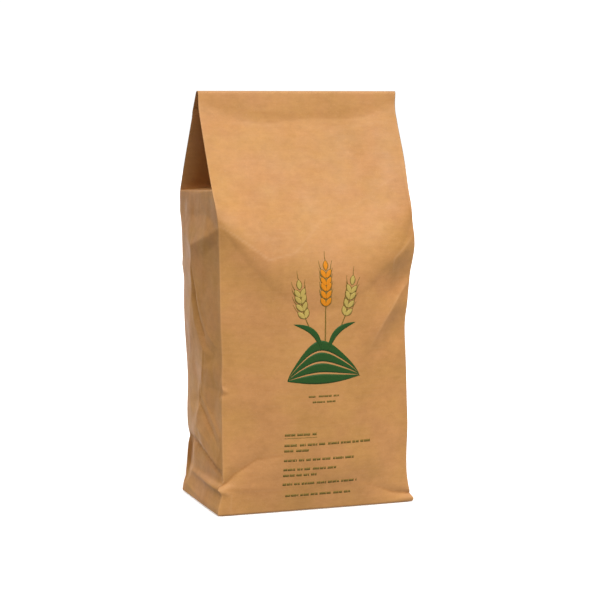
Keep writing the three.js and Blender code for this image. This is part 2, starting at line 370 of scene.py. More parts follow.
def along_chain(chain, across, z, span):
    """How far each point is from a chain of points, with the chain's lift and reach at the nearest place."""
    best = np.full(np.broadcast(across, z).shape, np.inf)
    lift = np.zeros_like(best)
    reach = np.ones_like(best)
    for (a0, z0, lift0, reach0), (a1, z1, lift1, reach1) in zip(chain, chain[1:]):
        dx, dz = (a1 - a0) * span, z1 - z0
        t = np.clip(((across - a0) * span * dx + (z - z0) * dz) / (dx * dx + dz * dz), 0, 1)
        distance = np.hypot((across - a0) * span - t * dx, z - z0 - t * dz)
        nearer = distance < best
        best = np.where(nearer, distance, best)
        lift = np.where(nearer, lerp(lift0, lift1, t), lift)
        reach = np.where(nearer, lerp(reach0, reach1, t), reach)
    return best, lift, reach


def crease_lift(creases, across, z, span):
    """How far a panel's creases move the paper."""
    total = 0
    for chain in creases:
        distance, lift, reach = along_chain(chain, across, z, span)
        total = total + lift * np.clip(1 - distance / reach, 0, 1) ** CREASE_SHARPNESS
    return total


def swell_lift(swells, across, z, span):
    """How far a panel's rounded hollows and swells move the paper."""
    total = 0
    for chain in swells:
        distance, lift, reach = along_chain(chain, across, z, span)
        total = total + lift * smooth_step(1 - distance / reach)
    return total


def crease_marks(creases, across, z, span):
    """A pale worn line with painted highlight on each ridge, and a painted shade line in each valley, from 0
    to 1.
    """
    wear_and_highlight = np.zeros(np.broadcast(across, z).shape)
    painted_valley_shade = np.zeros_like(wear_and_highlight)
    for chain in creases:
        distance, lift, _ = along_chain(chain, across, z, span)
        line = np.clip(MARK_CORE - distance / MARK_WIDTH, 0, 1) * np.clip(np.abs(lift) / MARK_LIFT, 0, 1)
        wear_and_highlight = np.maximum(wear_and_highlight, np.where(lift > 0, line, 0))
        painted_valley_shade = np.maximum(painted_valley_shade, np.where(lift < 0, VALLEY_SHADE * line, 0))
    return wear_and_highlight, painted_valley_shade


class FacetNet:
    """Flat paper facets between points, each (across in millimetres, height, lift)."""

    def __init__(self, points, folds=()):
        places = [Vector((x, z)) for x, z, _ in points]
        verts, _, faces, originals, _, _ = delaunay_2d_cdt(places, list(folds), [], 0, ONE_POINT)
        lifts = [points[found[0]][2] if found else 0.0 for found in originals]
        self.triangles = [
            [(verts[i].x, verts[i].y, lifts[i]) for i in face] for face in faces
        ]

    def __call__(self, x, z):
        lift = np.zeros(np.broadcast(x, z).shape)
        for (ax, az, al), (bx, bz, bl), (cx, cz, cl) in self.triangles:
            area = (bz - cz) * (ax - cx) + (cx - bx) * (az - cz)
            if abs(area) < SLIVER:
                continue
            wa = ((bz - cz) * (x - cx) + (cx - bx) * (z - cz)) / area
            wb = ((cz - az) * (x - cx) + (ax - cx) * (z - cz)) / area
            wc = 1 - wa - wb
            inside = (wa >= -SLACK) & (wb >= -SLACK) & (wc >= -SLACK)
            lift = np.where(inside, wa * al + wb * bl + wc * cl, lift)
        return lift


def fold_net(chains):
    """The facets of one gusset, with every chain kept as a fold."""
    points = []
    folds = []

    def index(point):
        if point not in points:
            points.append(point)
        return points.index(point)

    for point in GUSSET_REST:
        index(point)
    for chain in chains:
        for a, b in zip(chain, chain[1:]):
            folds.append((index(a), index(b)))
    return FacetNet([(v * GUSSET_WIDTH, z, lift) for v, z, lift in points], folds)


def handling_net(seed, width, spacing, height):
    """Random shallow facets that handling has left in a panel of paper."""
    draw = random.Random(seed)
    columns = max(2, round(width / spacing))
    rows = round(HEIGHT / spacing)
    points = []
    for i in range(-1, columns + 2):
        for j in range(-1, rows + 2):
            x = (i + draw.uniform(-STRAY, STRAY)) * width / columns
            z = (j + draw.uniform(-STRAY, STRAY)) * HEIGHT / rows
            points.append((x, z, draw.uniform(-height, height)))
    return FacetNet(points)

LEFT_NET = fold_net(LEFT_FOLDS)
RIGHT_NET = fold_net(RIGHT_FOLDS)
HANDLING = {side: [handling_net(*layer) for layer in layers] for side, layers in HANDLING_LAYERS.items()}


# Where the paper is. u is -1 to 1 across the front and back, v is 0 to 1 from front to back.

def belly(bulge, u, z):
    """How far from the middle the flour pushes a panel out."""
    return HALF_DEPTH + bulge(z) * (1 - np.abs(u) ** BELLY_SQUARENESS)


def shoulder_blend(u):
    """How softly the leaning sheet runs into the belly."""
    return SHOULDER_EDGE_BLEND + SHOULDER_MIDDLE_BLEND * (1 - u * u)


def calm_edges(inwards, z, top):
    """0 at a panel's edges, rising to 1 where handling has crumpled the paper."""
    return np.clip(inwards, 0, 1) * np.clip(z / CALM_BAND, 0, 1) * np.clip((top - z) / CALM_BAND, 0, 1)


def handled(side, across, z):
    return sum(layer(across, z) for layer in HANDLING[side])


def panel_lift(creases, swells, side, u, z, top):
    """The relief of the front or back panel, outwards."""
    lift = crease_lift(creases, u, z, HALF_WIDTH) + swell_lift(swells, u, z, HALF_WIDTH)
    calm = calm_edges((1 - np.abs(u)) * PANEL_CALM, z, top)
    return lift * clear_of_base(z) + handled(side, (u + 1) * HALF_WIDTH, z) * calm


def front_y(u, z):
    fold_y = RIDGE_Y - RIDGE_THICKNESS / 2
    band_height = BAND_HEIGHT + BAND_SAG * (1 - u * u)
    band = fold_y - BAND_LEAN * (HEIGHT - z)
    lean = fold_y - BAND_LEAN * band_height - FRONT_LEAN * (HEIGHT - band_height - z)
    panel = soft_max(soft_min(band, lean, BAND_BLEND), -belly(FRONT_BULGE, u, z), shoulder_blend(u))
    lift = panel_lift(FRONT_CREASES, FRONT_SWELLS, "front", u, z, HEIGHT)
    return panel - lift + base_rounding(z)


def back_y(u, z, with_flap=True):
    lean = RIDGE_Y + RIDGE_THICKNESS / 2 - BACK_STEP + BACK_LEAN * (HEIGHT - z)
    panel = soft_min(lean, belly(BACK_BULGE, u, z), shoulder_blend(u))
    lift = panel_lift(BACK_CREASES, BACK_SWELLS, "back", u, z, FLAP_EDGE_Z)
    share = np.minimum(1, lerp(FLAP_TOP_SHARE, 1, (HEIGHT - z) / FLAP_DROP))
    flap = np.where(z >= FLAP_EDGE_Z, FLAP_THICKNESS * share, 0)
    return panel + lift - base_rounding(z) + (flap if with_flap else 0)


def gusset_inset(net, creases, side, v, z):
    """How far a gusset lies inside the line between its upright creases."""
    middle = 1 - np.abs(2 * v - 1)
    rise = np.clip((z - FACET_TOP_Z) / (HEIGHT - FACET_TOP_Z), 0, 1)
    bow = GUSSET_BOW * np.sin(np.pi * middle) * np.sin(np.pi * rise)
    halves = middle * lerp(FACET_DEPTH, HALF_DEPTH, rise) + bow
    facet = (z - GUSSET_CREASE_Z) * FACET_DEPTH / FACET_RISE
    slot = lerp(SLOT_END, 1, smooth_step((HEIGHT - z) / SLOT_FADE))
    folded = np.maximum(0, np.minimum(facet, halves)) * slot
    below = np.clip((GUSSET_CREASE_Z - z) / CREASE_FADE, 0, 1)
    sharp = crease_lift(creases, v, z, GUSSET_WIDTH) * np.clip(middle * CREASE_CALM, 0, 1)
    relief = (net(v * GUSSET_WIDTH, z) + sharp) * below * clear_of_base(z)
    calm = calm_edges(middle * GUSSET_CALM, z, GUSSET_CREASE_Z)
    lift = relief + handled(side, v * GUSSET_WIDTH, z) * calm
    return folded + base_rounding(z) - lift


def tilted_height(v, z):
    """The rows rise towards the front round the gussets' level crease."""
    near = np.where(z < GUSSET_CREASE_Z, z / GUSSET_CREASE_Z, (HEIGHT - z) / (HEIGHT - GUSSET_CREASE_Z))
    return z + GUSSET_CREASE_TILT * (0.5 - v) * np.clip(near, 0, 1) ** 2


def skin_points(u, v, row_z):
    """Points of the skin, in millimetres, before the bag is centred on its base."""
    z = tilted_height(v, row_z)
    left = lerp(EDGE_X["front_left"](z), EDGE_X["back_left"](z), v)
    right = lerp(EDGE_X["front_right"](z), EDGE_X["back_right"](z), v)
    on_left, on_right = u[0] <= -1, u[0] >= 1
    left[:, on_left] += gusset_inset(LEFT_NET, LEFT_CREASES, "left", v[:, on_left], row_z)
    right[:, on_right] -= gusset_inset(RIGHT_NET, RIGHT_CREASES, "right", v[:, on_right], row_z)
    x = lerp(left, right, (u + 1) / 2)
    front = front_y(u, z)
    back = back_y(u, z)
    over = np.clip((z - HEIGHT + RIDGE_ROUNDING) / RIDGE_ROUNDING, 0, 1)
    kept = np.sqrt(np.maximum(0, 1 - over**2))
    y = lerp(front, back, 0.5 + (v - 0.5) * kept)
    return np.stack([x, y, z + BASE_LIFT * (1 - np.clip(z / LIFT_FADE, 0, 1))], axis=-1)


def ring_of_columns():
    """u and v of every column, once round the bag, closer together at the upright creases."""
    s = np.linspace(-1, 1, FRONT_COLUMNS + 1)[:-1]
    across = s * (1 + FRONT_CROWDING - FRONT_CROWDING * s * s)
    t = np.linspace(0, 1, SIDE_COLUMNS // 2 + 1)[:-1]
    half = t / 2 - SIDE_CROWDING * np.sin(2 * np.pi * t)
    along = np.concatenate([half, half + 0.5])
    u = np.concatenate([across, np.ones_like(along), -across, -np.ones_like(along)])
    v = np.concatenate([np.zeros_like(across), along, np.ones_like(across), 1 - along])
    return u, v


def row_heights():
    """Heights of the rows, closer at the base, on the facets, at the flap's edge and over the fold."""
    stretches = [
        (0, BASE_ROUNDING, ROUNDING_ROWS),
        (BASE_ROUNDING, FOOT_Z, FOOT_ROWS),
        (FOOT_Z, GUSSET_CREASE_Z, round((GUSSET_CREASE_Z - FOOT_Z) / ROW_STEP)),
        (GUSSET_CREASE_Z, FACET_TOP_Z, FACET_ROWS),
        (FACET_TOP_Z, FLAP_EDGE_Z - FLAP_EDGE_STEP, round((FLAP_EDGE_Z - FACET_TOP_Z) / ROW_STEP)),
        (FLAP_EDGE_Z, HEIGHT - RIDGE_ROUNDING, FLAP_ROWS),
    ]
    rows = np.concatenate([np.linspace(a, b, steps, endpoint=False) for a, b, steps in stretches])
    fold = HEIGHT - RIDGE_ROUNDING * (1 - np.sin(np.linspace(0, np.pi / 2, FOLD_ROWS)))
    return np.concatenate([rows, [FLAP_EDGE_Z - FLAP_EDGE_STEP], fold]).tolist()


def centring(points):
    """The slide that puts the middle of the bag's box over the middle of its base."""
    low, high = points.reshape(-1, 3).min(0), points.reshape(-1, 3).max(0)
    return np.array([-(low[0] + high[0]) / 2, -(low[1] + high[1]) / 2, 0])


def mesh_object(name, verts, faces, smooth=True):
    mesh = bpy.data.meshes.new(name)
    mesh.from_pydata([tuple(v) for v in verts], [], [tuple(f) for f in faces])
    mesh.update()
    if smooth:
        mesh.shade_smooth()
    piece = bpy.data.objects.new(name, mesh)
    bpy.context.scene.collection.objects.link(piece)
    return piece


def mend(piece, merge_distance):
    """Joins points that coincide and turns every face outwards."""
    edit = bmesh.new()
    edit.from_mesh(piece.data)
    bmesh.ops.remove_doubles(edit, verts=edit.verts, dist=merge_distance)
    bmesh.ops.recalc_face_normals(edit, faces=edit.faces)
    edit.to_mesh(piece.data)
    edit.free()


def dress(piece, material):
    """Gives a piece of the bag its material and its body, and hides the CAD part that it stands for."""
    piece.data.materials.append(material)
    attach(piece, "root")
    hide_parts("bag")
    return piece


COLUMN_U, COLUMN_V = ring_of_columns()
ROW_Z = np.array(sorted(row_heights()))
SKIN = skin_points(COLUMN_U[None, :], COLUMN_V[None, :], ROW_Z[:, None])
SLIDE = centring(SKIN)


def bag_skin(material):
    u, v, z = COLUMN_U, COLUMN_V, ROW_Z
    points = (SKIN + SLIDE) * MM
    rows, columns = points.shape[:2]
    index = np.arange(rows * columns).reshape(rows, columns)
    after = np.roll(index, -1, axis=1)
    quads = np.stack([index[:-1], after[:-1], after[1:], index[1:]], axis=-1).reshape(-1, 4)
    faces = quads.tolist() + [index[0][::-1].tolist()]
    skin = mesh_object("bag_skin", points.reshape(-1, 3), faces)
    # Pale wear with painted highlight on ridges, and painted shade in valleys, deep folds and the notch's
    # recess
    wear_and_highlight, painted_valley_shade = fold_marks(u[None, :], v[None, :], z[:, None])
    wear_and_highlight = np.maximum(wear_and_highlight, upright_wear_and_highlight(u, v, z))
    painted_shade = np.maximum(painted_valley_shade, np.where((v > 0) & (v < 1), painted_fold_shade(v[None, :], z[:, None]), 0))
    painted_shade = np.maximum(painted_shade, np.where(u < 0, notch_shade(v[None, :], z[:, None]), 0))
    for name, values in (("fold_wear_and_highlight", wear_and_highlight), ("painted_fold_shade", painted_shade)):
        layer = skin.data.attributes.new(name, "FLOAT", "POINT")
        layer.data.foreach_set("value", values.reshape(-1).astype(np.float32))
    mend(skin, SKIN_MERGE)
    return dress(skin, material)


def fold_marks(u, v, z):
    """The wear with painted highlight on the ridges and the painted shade in the valleys of all four panels.
    """
    marks = [
        crease_marks(FRONT_CREASES, u, z, HALF_WIDTH),
        crease_marks(BACK_CREASES, u, z, HALF_WIDTH),
        crease_marks(LEFT_CREASES, v, z, GUSSET_WIDTH),
        crease_marks(RIGHT_CREASES, v, z, GUSSET_WIDTH),
    ]
    panels = [v == 0, v == 1, (u == -1) & (v > 0) & (v < 1), (u == 1) & (v > 0) & (v < 1)]
    return [sum(np.where(panel, mark[k], 0) for panel, mark in zip(panels, marks)) for k in (0, 1)]


# Painted shade deep in the gussets' folds and in the recess under the notch, and wear with painted highlight
# along the edges, with sizes in millimetres
FOLD_SHADE_START = 5
FOLD_SHADE_AT_EDGE = 0.35
FOLD_SHADE_RISE = 2.2
RECESS_PLACE = (0.95, 31)
RECESS_SIZE = (9, 15)
RECESS_EDGE = 1.25
RECESS_SHADE = 0.8
UPRIGHT_WEAR_AND_HIGHLIGHT = 0.8
UPRIGHT_WEAR_AND_HIGHLIGHT_WIDTH = 1.6
TOP_WEAR_AND_HIGHLIGHT_WIDTH = 2.2
LEVEL_WEAR_AND_HIGHLIGHT = 0.7
LEVEL_WEAR_AND_HIGHLIGHT_WIDTH = 1.2


def painted_fold_shade(v, z):
    """How deep a point lies inside a gusset's fold, from 0 to 1, which weights the painted shade there."""
    middle = 1 - np.abs(2 * v - 1)
    inside = np.clip((z - GUSSET_CREASE_Z) / FOLD_SHADE_START, 0, 1)
    return inside * np.clip(FOLD_SHADE_AT_EDGE + middle * FOLD_SHADE_RISE, 0, 1)


def notch_shade(v, z):
    """The painted shade in the recess under the notch in the back edge of the left gusset, from 0 to 1."""
    across = (v - RECESS_PLACE[0]) * GUSSET_WIDTH / RECESS_SIZE[0]
    up = (z - RECESS_PLACE[1]) / RECESS_SIZE[1]
    return RECESS_SHADE * smooth_step(RECESS_EDGE - np.hypot(across, up))


def upright_wear_and_highlight(u, v, z):
    """Pale wear and painted highlight along the upright creases, the top fold and the gussets' level crease.
    """
    across = np.where((v == 0) | (v == 1), (1 - np.abs(u)) * HALF_WIDTH, np.minimum(v, 1 - v) * GUSSET_WIDTH)
    upright = np.clip(1 - across[None, :] / UPRIGHT_WEAR_AND_HIGHLIGHT_WIDTH, 0, 1) * np.ones_like(z)[:, None]
    top = np.clip(1 - (HEIGHT - z) / TOP_WEAR_AND_HIGHLIGHT_WIDTH, 0, 1)[:, None] * np.ones_like(u)[None, :]
    level = np.clip(1 - np.abs(z - GUSSET_CREASE_Z) / LEVEL_WEAR_AND_HIGHLIGHT_WIDTH, 0, 1)[:, None]
    level = level * np.where((v > 0) & (v < 1), 1, 0)[None, :]
    return np.maximum(np.maximum(UPRIGHT_WEAR_AND_HIGHLIGHT * upright, top), LEVEL_WEAR_AND_HIGHLIGHT * level)


# Materials

KRAFT_LIGHT = (0.610, 0.292, 0.088, 1)
KRAFT_DARK = (0.455, 0.204, 0.054, 1)
KRAFT_PALE = (0.640, 0.360, 0.170, 1)
KRAFT_FIBRE = (0.300, 0.130, 0.040, 1)
# KRAFT_SHADE is the colour that painted shade multiplies the paper by, in folds, valleys and the recess
KRAFT_SHADE = (0.58, 0.41, 0.10, 1)
KRAFT_PINK = (1.012, 0.985, 1.06, 1)
KRAFT_OLIVE = (0.985, 1.005, 0.91, 1)
KRAFT_ROUGHNESS = (0.53, 0.69)
KRAFT_SPECULAR = 0.5
KRAFT_BUMP = 0.55
# How far worn paper and painted highlight move the colour towards the pale brown
WEAR_AND_HIGHLIGHT_SHARE = 0.35
INK_ROUGHNESS = 0.5
INK_SPECULAR = 0.2
INK_BUMP = 0.5
INK_LEAST_PAPER = 0.5
INK_MOST_PAPER = 3
RELIEF_DEPTH = 0.00018

# Each pattern's stretch, scale, detail and roughness, and the part of the noise that is used
GRAIN = {
    "clouds": ((1, 1, 0.7), 24.0, 4.0, 0.6, 0.34, 0.66),
    "mottle": ((1, 1, 1.6), 150.0, 5.0, 0.7, 0.32, 0.68),
    "ribs": ((30, 30, 800), 1.0, 5.0, 0.7, 0.3, 0.7),
    "flecks": ((1, 1, 2.2), 1100.0, 4.0, 0.7, 0.58, 0.72),
    "pale_flecks": ((1.3, 1.3, 1), 800.0, 4.0, 0.7, 0.58, 0.70),
    "hue": ((1, 1, 1.2), 33.0, 3.0, 0.5, 0.38, 0.62),
    "gloss": ((1, 1, 1), 60.0, 3.0, 0.5, 0.3, 0.7),
    "ink_gaps": ((1, 1, 1.5), 1300.0, 4.0, 0.7, 0.42, 0.70),
}
KRAFT_MARKS = [("ribs", 0.12, KRAFT_PALE), ("flecks", 0.34, KRAFT_FIBRE), ("pale_flecks", 0.32, KRAFT_PALE)]

# The stretch, scale, detail and roughness of the fine ribs, fibres and cockle, and their weight in the relief
RELIEF = [
    ((40, 40, 700), 1.0, 5.0, 0.7, 0.30),
    ((1, 1, 1.4), 1500.0, 4.0, 0.65, 0.35),
    ((1, 1, 1), 150.0, 3.0, 0.55, 0.9),
]


def give(tree, node, values):
    """Sets a node's inputs, by name or number. A value that is another node's output is linked."""
    for name, value in values.items():
        if isinstance(value, bpy.types.NodeSocket):
            tree.links.new(value, node.inputs[name])
        else:
            node.inputs[name].default_value = value


def shader_node(tree, kind, values=None, **settings):
    node = tree.nodes.new(kind)
    for name, setting in settings.items():
        setattr(node, name, setting)
    give(tree, node, values or {})
    return node


def fine_noise(tree, coordinates, stretch=(1, 1, 1), scale=1.0, detail=3.0, roughness=0.5):
    """Noise on the object's own coordinates, stretched along each axis."""
    place = shader_node(tree, "ShaderNodeMapping", {"Vector": coordinates, "Scale": stretch}).outputs[0]
    values = {"Vector": place, "Scale": scale, "Detail": detail, "Roughness": roughness}
    return shader_node(tree, "ShaderNodeTexNoise", values).outputs["Fac"]


def spread(tree, value, low=0.0, high=1.0, to_low=0.0, to_high=1.0):
    """Stretches the part of a value between low and high over a new range."""
    values = {"Value": value, "From Min": low, "From Max": high, "To Min": to_low, "To Max": to_high}
    return shader_node(tree, "ShaderNodeMapRange", values).outputs["Result"]


def mixed(tree, factor, first, second, blend="MIX"):
    values = {0: factor, 6: first, 7: second}
    return shader_node(tree, "ShaderNodeMix", values, data_type="RGBA", blend_type=blend).outputs[2]


def mixed_value(tree, factor, first, second):
    values = {0: factor, 2: first, 3: second}
    return shader_node(tree, "ShaderNodeMix", values, data_type="FLOAT").outputs[0]


def summed(tree, terms):
    """The sum of (value, weight) pairs."""
    total = 0.0
    for value, weight in terms:
        values = {0: value, 1: weight, 2: total}
        total = shader_node(tree, "ShaderNodeMath", values, operation="MULTIPLY_ADD").outputs[0]
    return total


def new_material(name):
    """A material, with its node tree, its shader and the object's own coordinates."""
    material = bpy.data.materials.new(name)
    material.use_nodes = True
    tree = material.node_tree
    coordinates = shader_node(tree, "ShaderNodeTexCoord").outputs["Object"]
    return material, tree, tree.nodes["Principled BSDF"], coordinates


def grain(tree, coordinates, name, to_low=0.0, to_high=1.0):
    *pattern, low, high = GRAIN[name]
    return spread(tree, fine_noise(tree, coordinates, *pattern), low, high, to_low, to_high)


def fine_relief(tree, coordinates, strength):
    terms = [(fine_noise(tree, coordinates, *pattern), weight) for *pattern, weight in RELIEF]
    values = {"Strength": strength, "Distance": RELIEF_DEPTH, "Height": summed(tree, terms)}
    return shader_node(tree, "ShaderNodeBump", values).outputs["Normal"]


def kraft_colour(tree, coordinates):
    """Clouds and mottle in two browns, a drift of hue, pale ribs, and dark and pale flecks."""
    clouds = grain(tree, coordinates, "clouds")
    mottle = grain(tree, coordinates, "mottle")
    tint = mixed(tree, grain(tree, coordinates, "hue"), KRAFT_OLIVE, KRAFT_PINK)
    colour = mixed(tree, summed(tree, [(clouds, 0.5), (mottle, 0.5)]), KRAFT_DARK, KRAFT_LIGHT)
    colour = mixed(tree, 1.0, colour, tint, "MULTIPLY")
    for name, share, mark in KRAFT_MARKS:
        colour = mixed(tree, grain(tree, coordinates, name, 0.0, share), colour, mark)
    return colour


def kraft_material():
    material, tree, shader, coordinates = new_material("kraft_paper")
    wear_and_highlight = shader_node(tree, "ShaderNodeAttribute", attribute_name="fold_wear_and_highlight").outputs["Fac"]
    painted_shade = shader_node(tree, "ShaderNodeAttribute", attribute_name="painted_fold_shade").outputs["Fac"]
    # paler where the paper is worn and where a highlight is painted along ridges and edges
    worn_and_highlighted = spread(tree, wear_and_highlight, to_high=WEAR_AND_HIGHLIGHT_SHARE)
    colour = mixed(tree, worn_and_highlighted, kraft_colour(tree, coordinates), KRAFT_PALE)
    # The base colour is multiplied darker where shade is painted into folds, valleys and the recess
    give(tree, shader, {
        "Base Color": mixed(tree, painted_shade, colour, KRAFT_SHADE, "MULTIPLY"),
        "Roughness": grain(tree, coordinates, "gloss", *KRAFT_ROUGHNESS),
        "Specular IOR Level": KRAFT_SPECULAR,
        "Normal": fine_relief(tree, coordinates, KRAFT_BUMP),
    })
    return material


def ink_material(name, colour, paper_share):
    """Ink that has sunk into the paper: the kraft's grain shows through it."""
    material, tree, shader, coordinates = new_material(name)
    least = paper_share * INK_LEAST_PAPER
    most = min(1.0, paper_share * INK_MOST_PAPER)
    give(tree, shader, {
        "Base Color": mixed(tree, grain(tree, coordinates, "ink_gaps", least, most), colour, KRAFT_LIGHT),
        "Roughness": INK_ROUGHNESS,
        "Specular IOR Level": INK_SPECULAR,
        "Normal": fine_relief(tree, coordinates, INK_BUMP),
    })
    return material


# Thin pieces that lie on the skin, with sizes in millimetres

RAY_START = 400
LEAF_SHARPNESS = 0.8
LEAF_POINT = 0.02
LEAF_STEPS = 14
OUTLINE_STEPS = 16


class Sheet:
    """Patches of a thin sheet. Those laid on the skin are given flat, as (across, up)."""

    def __init__(self):
        self.points = []
        self.faces = []

    def grid(self, rows):
        """Joins rows of equally many points by quads."""
        first = len(self.points)
        width = len(rows[0])
        for row in rows:
            self.points.extend(row)
        for i in range(len(rows) - 1):
            for j in range(width - 1):
                a = first + i * width + j
                self.faces.append((a, a + 1, a + width + 1, a + width))

    def strip(self, path, widths, across=2):
        """A band along a path, with its width at each point."""
        rows = []
        for i, (x, z) in enumerate(path):
            nx, nz = sideways(path, i)
            rows.append([
                (x + nx * widths[i] * (k / across - 0.5), z + nz * widths[i] * (k / across - 0.5))
                for k in range(across + 1)
            ])
        self.grid(rows)

    def leaf(self, base, tip, width, bend=0.0, steps=LEAF_STEPS):
        """A pointed leaf or grain from base to tip, bowed sideways by bend."""
        widths = [max(leaf_width(width, i, steps), LEAF_POINT) for i in range(steps + 1)]
        self.strip(bowed(base, tip, bend, steps), widths, across=4)

    def outline(self, base, tip, width, line):
        """The outline of a straight leaf, drawn with a pen of width line."""
        path = bowed(base, tip, 0.0, OUTLINE_STEPS)
        for side in (-1, 1):
            edge = []
            for i, (x, z) in enumerate(path):
                nx, nz = sideways(path, i)
                half = side * 0.5 * leaf_width(width, i, OUTLINE_STEPS)
                edge.append((x + nx * half, z + nz * half))
            self.strip(edge, [line] * len(edge), across=1)


def sideways(path, i):
    """The unit step to the left of a path at its point i."""
    before = path[max(0, i - 1)]
    after = path[min(len(path) - 1, i + 1)]
    dx, dz = after[0] - before[0], after[1] - before[1]
    length = math.hypot(dx, dz) or 1.0
    return -dz / length, dx / length


def leaf_width(width, i, steps):
    return width * math.sin(math.pi * i / steps) ** LEAF_SHARPNESS


def bowed(base, tip, bend, steps):
    """Points from base to tip, pushed sideways by bend in the middle."""
    dx, dz = tip[0] - base[0], tip[1] - base[1]
    length = math.hypot(dx, dz)
    points = []
    for i in range(steps + 1):
        t = i / steps
        push = bend * math.sin(math.pi * t)
        points.append((base[0] + dx * t - dz / length * push, base[1] + dz * t + dx / length * push))
    return points


def thin_solid(name, tops, bottoms, faces, smooth=True):
    """Closes the two sides of a thin piece by a rim round each patch."""
    count = len(tops)
    edges = [edge for face in faces for edge in zip(face, face[1:] + face[:1])]
    inner = {(b, a) for a, b in edges}
    solid = faces + [tuple(i + count for i in reversed(face)) for face in faces]
    solid += [(b, a, a + count, b + count) for a, b in edges if (a, b) not in inner]
    piece = mesh_object(name, [*tops, *bottoms], solid, smooth)
    mend(piece, SHEET_MERGE)
    return piece


def lay_on(tree, sheet, name, proud, thickness, facing=-1):
    """Lays a sheet on the front (facing -1) or back (facing 1) of the skin."""
    tops = []
    bottoms = []
    for x, z in sheet.points:
        start = Vector((x, facing * RAY_START, z)) * MM
        place, normal, _, _ = tree.ray_cast(start, Vector((0, -facing, 0)))
        tops.append(place + normal * proud * MM)
        bottoms.append(tops[-1] - normal * thickness * MM)
    return thin_solid(name, tops, bottoms, sheet.faces)


# The printed design: ears of wheat over a furrowed mound, and rows of plain dashes below. Sizes are in
# millimetres and turns in radians.

PRINT_X = 0.5
MOUND_FOOT = 96
MOUND_WIDTH = 54
MOUND_HEIGHT = 25
MOUND_BANDS = 4
MOUND_COLUMNS = 40
BAND_STEPS = 5
THINNEST_BAND = 0.05
MOUND_ROUNDNESS = 0.75
MOUND_SAG = 3.5
MOUND_TILT = 2.0
MOUND_WAVE = 0.12
MOUND_WAVE_SHIFT = 0.1
FURROW = 1.3
PEN = 0.75

# The mound's two leaves, given for the right one, from the middle of the design
LEAF_BASE = (2, 116)
LEAF_TIP = (23, 135)
LEAF_WIDTH = 4.2
LEAF_BEND = 5.0
LEAF_CURVE_STEPS = 24

# Each ear's sheet, its foot and tip from the middle of the design, its bend and its pairs of grains
EARS = [
    ("print_gold", (0, 120.5), (0.5, 173), 0.0, 5),
    ("print_pale", (-4, 119.5), (-19, 160), 3.0, 4),
    ("print_pale", (4, 119.5), (20, 162), -3.0, 4),
]
EAR_STEPS = 40
EAR_START = 0.52
EAR_LENGTH = 0.46
STALK_STEPS = 35
STALK_FOOT_WIDTH = 1.0
STALK_TOP_WIDTH = 0.6
GRAIN_START = 0.5
GRAIN_END = 7.2
GRAIN_WIDTH = 3.5
GRAIN_MARGIN = 0.3
GRAIN_TURN = 0.52
AWN = 6.5
AWN_BEND = 0.3
AWN_TURN = 0.45
AWN_WIDTHS = [0.55, 0.52, 0.48, 0.44, 0.38, 0.32, 0.25]

# Rows of dashes: the height and the right end of each, or its height and both ends
TEXT_LEFT = -27.5
TEXT_ROWS = [(56, -4), (48.5, 37), (44.5, -9), (37.5, 25), (30.8, 12), (26.5, -3), (20.0, 28)]
FOOT_ROW = (11.5, -25, 24)
CAPTION_ROWS = [(83.0, -11, 12), (79.0, -8, 9)]
TEXT_HEIGHT = 1.7
CAPTION_HEIGHT = 1.3
WORD_LENGTHS = (3.5, 10.0)
WORD_GAP = 1.4
DASH_LENGTHS = (1.4, 5.0)
DASH_GAP = 0.45
SHORTEST_DASH = 0.6
DASH_STEP = 0.8
DASH_SEED = 5
UNDERLINE_Z = 54.45
UNDERLINE_WIDTH = 0.3
UNDERLINE_STEPS = 30

# Each ink's colour, how much paper shows through it, and how far it stands proud of the paper
INKS = {
    "print_pale": ((0.50, 0.40, 0.10, 1), 0.15, 0.030),
    "print_gold": ((0.72, 0.235, 0.004, 1), 0.04, 0.030),
    "print_green": ((0.007, 0.076, 0.014, 1), 0.02, 0.045),
    "print_olive": ((0.150, 0.112, 0.016, 1), 0.10, 0.090),
}
INK_THICKNESS = 0.16


def mound(green):
    """A low hill in bands, with bare paper between them for the furrows."""
    for band in range(MOUND_BANDS):
        green.grid([
            [mound_point(i / MOUND_COLUMNS, r / BAND_STEPS, band) for i in range(MOUND_COLUMNS + 1)]
            for r in range(BAND_STEPS + 1)
        ])


def mound_point(t, within, band):
    """A place on the mound: t is from left to right, and within from the band's lower to its upper rim."""
    hump = math.sin(math.pi * t)
    swell = hump ** MOUND_ROUNDNESS
    lower = -MOUND_SAG * hump + MOUND_TILT * (t - 0.5)
    upper = MOUND_HEIGHT * swell * (1 + MOUND_WAVE * math.sin(2 * math.pi * (t - MOUND_WAVE_SHIFT)))
    margin = FURROW / 2 * swell
    low = lerp(lower, upper, band / MOUND_BANDS) + (margin if band > 0 else 0)
    high = lerp(lower, upper, (band + 1) / MOUND_BANDS) - (margin if band < MOUND_BANDS - 1 else 0)
    up = lerp(low, max(high, low + THINNEST_BAND), within)
    return (PRINT_X + MOUND_WIDTH * (t - 0.5), MOUND_FOOT + up)


def further(place, angle, distance):
    return (place[0] + distance * math.cos(angle), place[1] + distance * math.sin(angle))


